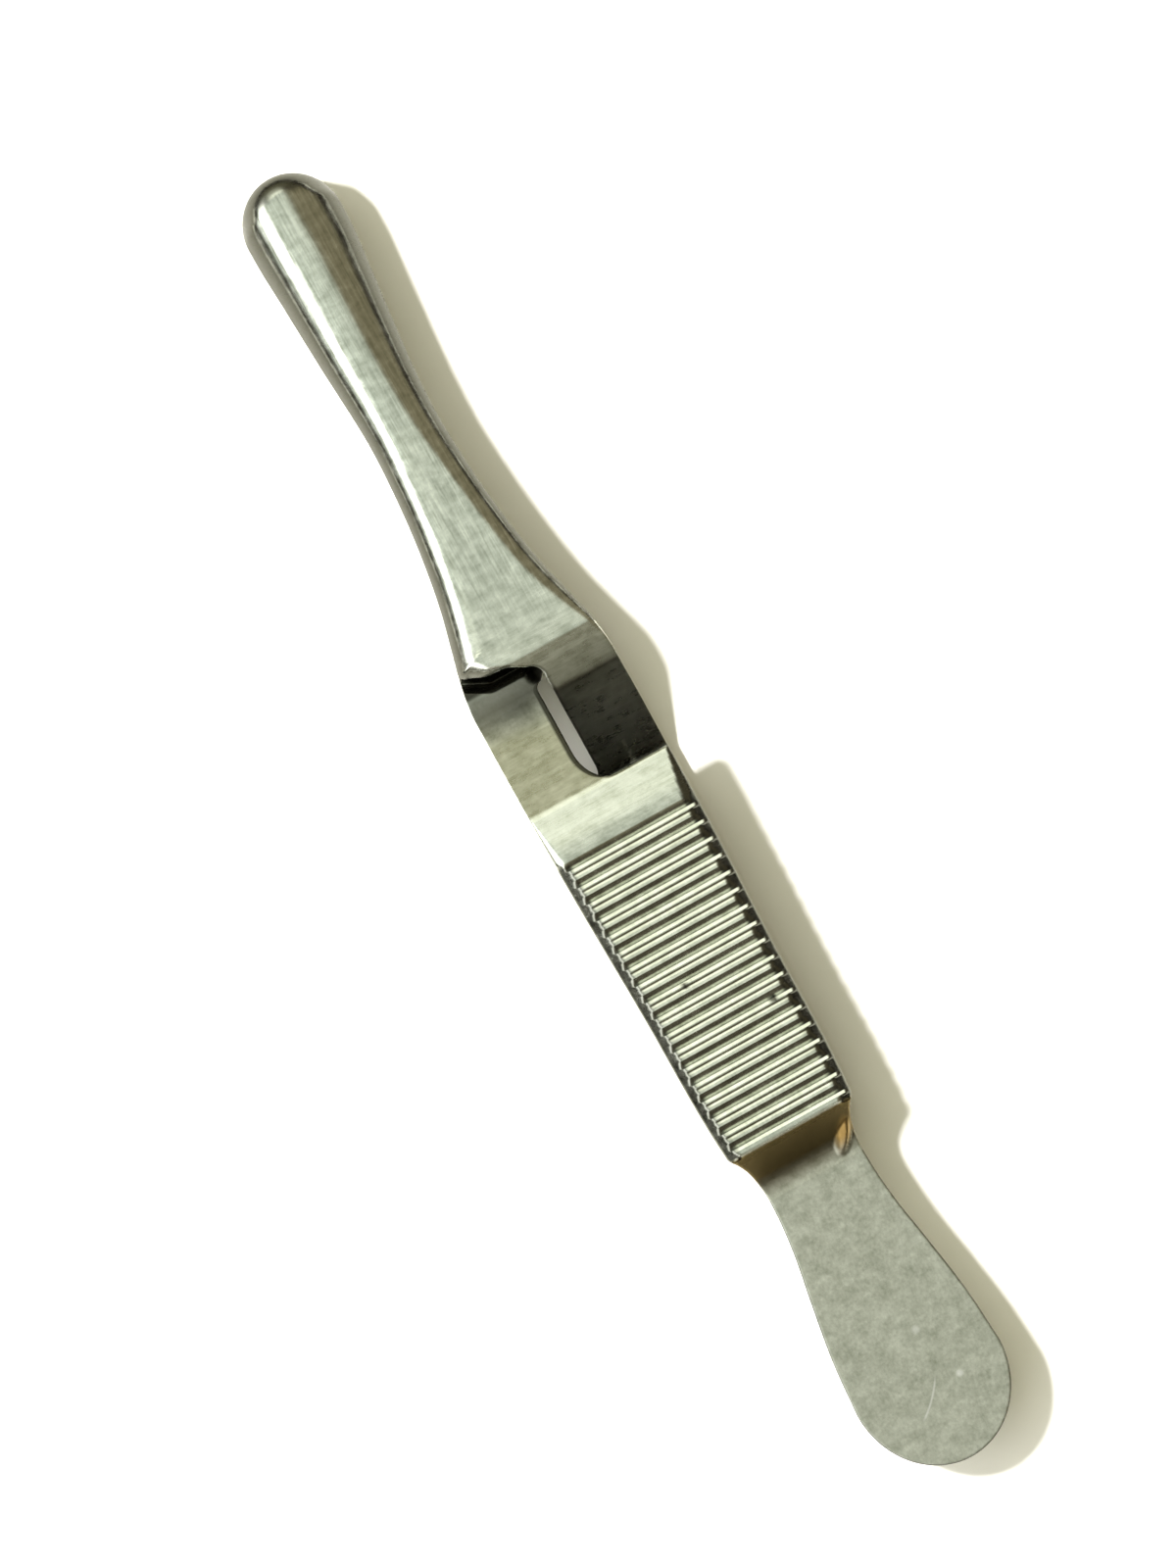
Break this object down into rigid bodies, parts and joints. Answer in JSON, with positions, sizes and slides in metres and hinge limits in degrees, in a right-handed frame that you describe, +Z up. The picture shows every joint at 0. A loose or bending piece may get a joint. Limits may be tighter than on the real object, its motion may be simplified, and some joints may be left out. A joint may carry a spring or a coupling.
{
  "type": "bulldog clamp",
  "caption": "Small cross-action spring clamp of bent steel: ribbed grips beside a flat tail, and long half-round jaws that open when the grips are squeezed.",
  "frame": {"origin": "centre of the bounding box in plan, at the height of the lower grip's outer face, on which the clamp lies", "axes": "+X along the clamp towards the jaws' tip, +Z up from the lower grip to the upper grip, +Y across, towards the side where the upper arm's tongue crosses"},
  "size_m": [0.05, 0.0056, 0.0048],
  "materials": {
    "instrument_steel": "satin stainless steel, finely ground along the arms and polished on the jaws' round edges, with faint use scratches"
  },
  "bodies": {
    "lower_arm": {"lower_arm": "instrument_steel"},
    "upper_arm": {"upper_arm": "instrument_steel"}
  },
  "joints": [
    {"name": "squeeze", "type": "hinge", "parent": "lower_arm", "child": "upper_arm", "pos_m": [-0.01306, 0, 0.0024], "axis": [0, 1, 0], "range_deg": [0, 9], "stiffness_Nm_per_rad": 0.12, "springref_deg": -11.46}
  ]
}
